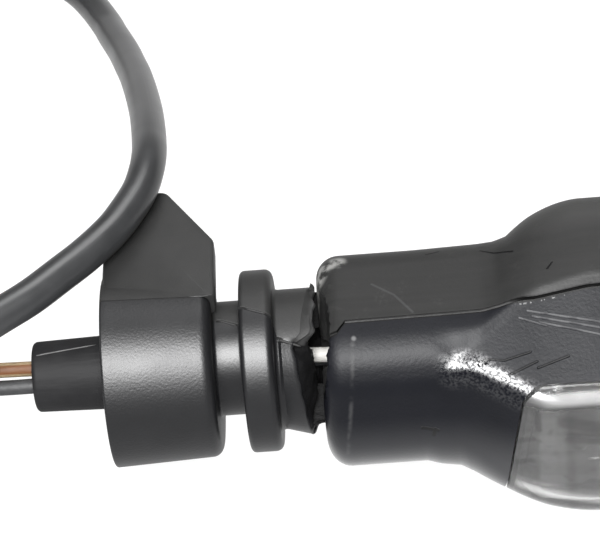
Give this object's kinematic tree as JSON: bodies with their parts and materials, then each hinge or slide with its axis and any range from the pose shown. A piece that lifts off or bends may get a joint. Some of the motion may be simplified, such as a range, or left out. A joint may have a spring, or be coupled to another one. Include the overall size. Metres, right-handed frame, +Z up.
{
  "type": "motorcycle turn signal",
  "caption": "Motorcycle turn signal: clear-lensed bulb lamp on a grooved rubber stem with a key tab, its neck torn so the lamp hangs on a strip, with a sheathed lead coiled for storage.",
  "frame": {"origin": "on the stem's axis, on the flange face that rests against the panel", "axes": "+X along the stem from the cable boot to the lamp's tip, -Y the way the lens faces, +Z up"},
  "size_m": [0.174, 0.1149, 0.0319],
  "materials": {
    "stem_rubber": "moulded, fine stipple, slightly shiny from use",
    "boot_rubber": "moulded, smooth",
    "web_rubber": "torn, rough",
    "housing_plastic": "satin black, worn and scratched",
    "lens_clear": "clear, moulded ribs inside",
    "gasket_foam": "closed-cell foam",
    "reflector_bright": "bright metallised plastic",
    "socket_steel": "plated",
    "base_phenolic": "brown insulating board",
    "tag_steel": "plated",
    "plunger_brass": "bare",
    "spring_steel": "bright wire",
    "terminal_brass": "bare",
    "cap_brass": "plated",
    "bead_glass": "black glass",
    "contact_solder": "solder",
    "bulb_amber": "amber",
    "filament_tungsten": "drawn wire",
    "screw_steel": "zinc plated",
    "live_insulation": "cream with a brown stripe",
    "ground_insulation": "dark grey",
    "sheath_vinyl": "black, slightly shiny",
    "collar_shrink": "black shrink tube",
    "tie_vinyl": "black",
    "bullet_brass": "bare",
    "sleeve_vinyl": "milky clear"
  },
  "bodies": {
    "stem": {"stem_moulding": "stem_rubber", "cable_boot": "boot_rubber", "neck_web": "web_rubber", "live_wire": "live_insulation", "ground_wire": "ground_insulation", "live_lead": "live_insulation", "ground_lead": "ground_insulation", "sheath_collar": "collar_shrink", "lead_sheath": "sheath_vinyl", "lead_coil": "sheath_vinyl", "coil_tie": "tie_vinyl", "live_tail": "live_insulation", "ground_tail": "ground_insulation", "live_bullet": "bullet_brass", "ground_bullet": "bullet_brass", "live_sleeve": "sleeve_vinyl", "ground_sleeve": "sleeve_vinyl"},
    "lamp_head": {"lamp_housing": "housing_plastic", "lens": "lens_clear", "lens_gasket": "gasket_foam", "reflector": "reflector_bright", "bulb_socket": "socket_steel", "socket_base": "base_phenolic", "contact_spring": "spring_steel", "live_terminal": "terminal_brass", "ground_tag": "tag_steel", "lens_screw": "screw_steel"},
    "bulb": {"bulb_cap": "cap_brass", "bulb_insulator": "bead_glass", "bulb_contact": "contact_solder", "bulb_glass": "bulb_amber", "filament": "filament_tungsten", "contact_plunger": "plunger_brass"}
  },
  "joints": [
    {"name": "neck_bend", "type": "hinge", "parent": "stem", "child": "lamp_head", "pos_m": [0.00887, 0.0033, -0.00572], "axis": [0, 0.866, 0.5], "range_deg": [-1.5, 15], "stiffness_Nm_per_rad": 0.6, "deforming": ["neck_web", "live_wire", "ground_wire"]},
    {"name": "bulb_push", "type": "slide", "parent": "lamp_head", "child": "bulb", "axis": [-1, 0, 0], "range_m": [0, 0.0012], "stiffness_N_per_m": 3000, "deforming": ["contact_spring"]}
  ]
}
